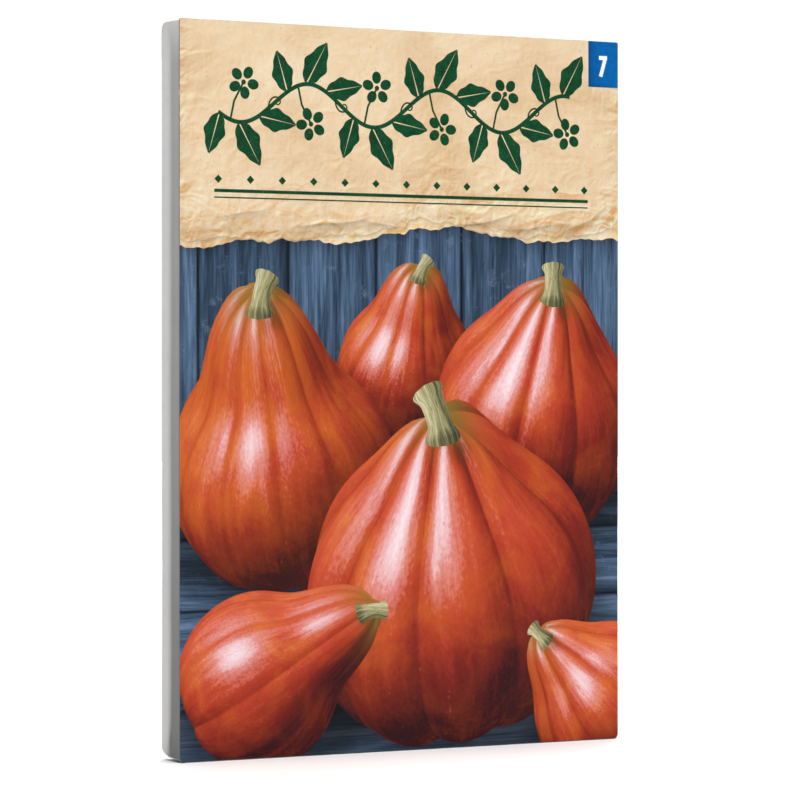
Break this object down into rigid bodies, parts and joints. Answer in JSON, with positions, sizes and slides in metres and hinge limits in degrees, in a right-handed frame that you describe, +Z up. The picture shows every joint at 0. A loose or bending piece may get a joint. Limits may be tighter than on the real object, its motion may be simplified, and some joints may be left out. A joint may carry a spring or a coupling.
{
  "type": "seed packet",
  "caption": "Filled paper seed packet with a printed front, creased side walls, squared-off base and a glued closing flap, standing upright.",
  "frame": {"origin": "under the middle of the packet, on the surface that it stands on", "axes": "+Z up along the packet's height, the printed front faces -Y, +X to the right as seen from the front"},
  "size_m": [0.115, 0.01, 0.165],
  "materials": {
    "printed_paper": "satin",
    "plain_paper": "matte",
    "seed_coat": "satin"
  },
  "bodies": {
    "root": {"front_panel": "printed_paper", "left_side_wall": "plain_paper", "right_side_wall": "plain_paper", "back_panel_left": "plain_paper", "back_panel_right": "plain_paper", "base_flap": "plain_paper", "closing_flap": "plain_paper", "seed_1": "seed_coat", "seed_2": "seed_coat", "seed_3": "seed_coat", "seed_4": "seed_coat", "seed_5": "seed_coat", "seed_6": "seed_coat", "seed_7": "seed_coat", "seed_8": "seed_coat"}
  },
  "joints": []
}
